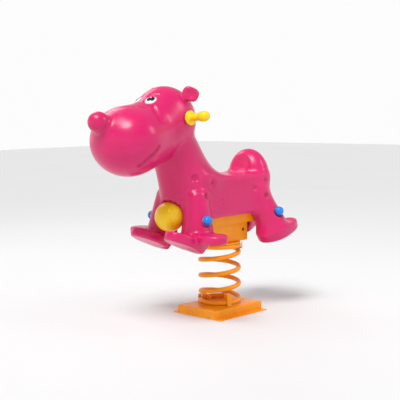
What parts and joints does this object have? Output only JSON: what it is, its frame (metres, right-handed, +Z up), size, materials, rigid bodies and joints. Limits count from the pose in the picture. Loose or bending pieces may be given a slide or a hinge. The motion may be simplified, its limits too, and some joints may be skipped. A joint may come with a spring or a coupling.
{
  "type": "spring rider",
  "caption": "Playground spring rider: hollow moulded animal with seat, footrests and hand grips on a steel saddle, coil spring and folded base.",
  "frame": {"origin": "on the coil spring's axis, on the ground under the base", "axes": "+Z up, the animal faces -Y, its left side is +X"},
  "size_m": [0.468, 0.9204, 0.8369],
  "materials": {
    "pink_polyethylene": "glossy moulded skin",
    "orange_powder_coat": "powder coat",
    "orange_spring_coat": "powder coat",
    "galvanised_steel": "zinc plated",
    "blue_plastic": "glossy",
    "yellow_plastic": "glossy",
    "white_vinyl": "glossy",
    "black_vinyl": "glossy"
  },
  "bodies": {
    "base": {"base_box": "orange_powder_coat", "lower_spring_plate": "orange_powder_coat", "lower_clamp_tall": "orange_powder_coat", "lower_clamp_short": "orange_powder_coat", "lower_clamp_bolts": "galvanised_steel", "lower_clamp_nuts": "galvanised_steel"},
    "spring_lower": {"coil_spring_lower": "orange_spring_coat"},
    "spring_upper": {"coil_spring_upper": "orange_spring_coat"},
    "rider": {"upper_spring_plate": "orange_powder_coat", "upper_clamp_end": "orange_powder_coat", "upper_clamp_lead": "orange_powder_coat", "bracket_box": "orange_powder_coat", "saddle": "orange_powder_coat", "cross_tube_front": "galvanised_steel", "cross_tube_rear": "galvanised_steel", "leg_bolts": "galvanised_steel", "leg_washers": "galvanised_steel", "upper_clamp_bolts": "galvanised_steel", "upper_clamp_nuts": "galvanised_steel", "bracket_bolts": "galvanised_steel", "bracket_nuts": "galvanised_steel", "ball_bolt": "galvanised_steel", "handle_bar": "galvanised_steel", "bolt_cap_front_left": "blue_plastic", "bolt_cap_front_right": "blue_plastic", "bolt_cap_rear_left": "blue_plastic", "bolt_cap_rear_right": "blue_plastic", "grip_left": "yellow_plastic", "grip_right": "yellow_plastic", "ball": "yellow_plastic", "body_shell": "pink_polyethylene", "eye_left": "white_vinyl", "eye_right": "white_vinyl", "pupil_left": "black_vinyl", "pupil_right": "black_vinyl"}
  },
  "joints": [
    {"name": "rock_fore_aft", "type": "hinge", "parent": "base", "child": "spring_lower", "pos_m": [0, 0, 0.095], "axis": [1, 0, 0], "range_deg": [-20, 20], "stiffness_Nm_per_rad": 600, "springref_deg": -0.62, "deforming": ["coil_spring_lower"]},
    {"name": "rock_sideways", "type": "hinge", "parent": "spring_lower", "child": "spring_upper", "pos_m": [0, 0, 0.165], "axis": [0, 1, 0], "range_deg": [-15, 15], "stiffness_Nm_per_rad": 600, "deforming": ["coil_spring_upper"]},
    {"name": "bounce", "type": "slide", "parent": "spring_upper", "child": "rider", "axis": [0, 0, 1], "range_m": [-0.012, 0.005], "stiffness_N_per_m": 94000, "springref_m": 0.0018}
  ]
}
